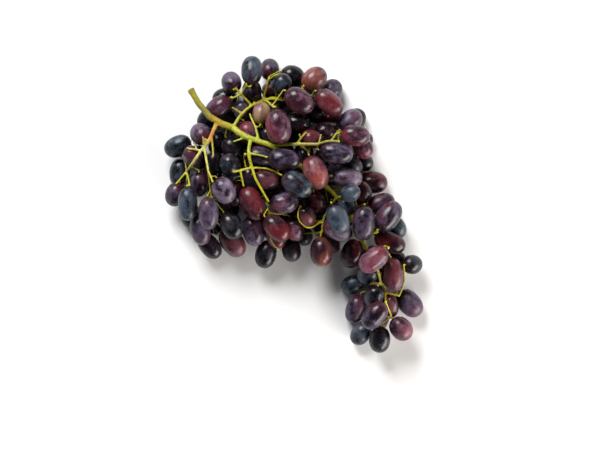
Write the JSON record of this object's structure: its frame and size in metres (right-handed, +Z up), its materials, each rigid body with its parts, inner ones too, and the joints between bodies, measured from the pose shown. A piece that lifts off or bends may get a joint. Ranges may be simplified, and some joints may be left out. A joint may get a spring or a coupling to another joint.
{
  "type": "bunch of grapes",
  "caption": "Bunch of dark oval table grapes lying on its side, blue-black to wine red, with a branching green stem.",
  "frame": {"origin": "middle of the bunch's bounding box in plan, on the table it lies on", "axes": "+Z up from the table, +Y from the tail of the bunch towards its shoulders, +X away from the side where the cut stem end is"},
  "size_m": [0.2374, 0.2708, 0.0691],
  "materials": {
    "berry_blue_black": "waxy bloom",
    "berry_plum": "waxy bloom",
    "berry_wine_red": "waxy bloom",
    "berry_rose": "waxy bloom",
    "stem_green": "matte"
  },
  "bodies": {
    "root": {"berries_bed_01": "berry_blue_black", "berries_bed_02": "berry_blue_black", "berries_bed_03": "berry_plum", "berries_bed_04": "berry_blue_black", "berries_bed_05": "berry_blue_black", "berries_bed_06": "berry_blue_black", "berries_bed_07": "berry_blue_black", "berries_bed_08": "berry_plum", "berries_bed_09": "berry_blue_black", "berries_bed_10": "berry_blue_black", "berries_bed_11": "berry_blue_black", "berries_bed_12": "berry_blue_black", "berries_bed_13": "berry_blue_black", "berries_heart_01": "berry_blue_black", "berries_heart_02": "berry_blue_black", "berries_heart_03": "berry_plum", "berries_heart_04": "berry_blue_black", "berries_heart_05": "berry_plum", "berries_heart_06": "berry_blue_black", "berries_heart_07": "berry_plum", "berries_heart_08": "berry_plum", "berries_left_wing_01": "berry_blue_black", "berries_left_wing_02": "berry_plum", "berries_left_wing_03": "berry_blue_black", "berries_left_wing_04": "berry_plum", "berries_left_wing_05": "berry_plum", "berries_left_wing_06": "berry_plum", "berries_left_wing_07": "berry_blue_black", "berries_left_wing_08": "berry_blue_black", "berries_left_wing_09": "berry_blue_black", "berries_lower_edge_01": "berry_blue_black", "berries_lower_edge_02": "berry_plum", "berries_lower_edge_03": "berry_blue_black", "berries_lower_edge_04": "berry_blue_black", "berries_lower_edge_05": "berry_wine_red", "berries_right_shoulder_01": "berry_plum", "berries_right_shoulder_02": "berry_rose", "berries_right_shoulder_03": "berry_blue_black", "berries_right_shoulder_04": "berry_wine_red", "berries_right_shoulder_05": "berry_blue_black", "berries_right_shoulder_06": "berry_plum", "berries_right_shoulder_07": "berry_plum", "berries_right_shoulder_08": "berry_blue_black", "berries_right_shoulder_09": "berry_rose", "berries_tail_01": "berry_blue_black", "berries_tail_02": "berry_blue_black", "berries_tail_03": "berry_plum", "berries_tail_04": "berry_wine_red", "berries_tail_05": "berry_blue_black", "berries_top_wing_01": "berry_blue_black", "berries_top_wing_02": "berry_blue_black", "berries_top_wing_03": "berry_plum", "berries_top_wing_04": "berry_plum", "berries_top_wing_05": "berry_blue_black", "berries_top_wing_06": "berry_plum", "berries_top_wing_07": "berry_blue_black", "berries_top_wing_08": "berry_plum", "berries_top_wing_09": "berry_plum", "berries_top_wing_10": "berry_plum", "stem": "stem_green"}
  },
  "joints": []
}
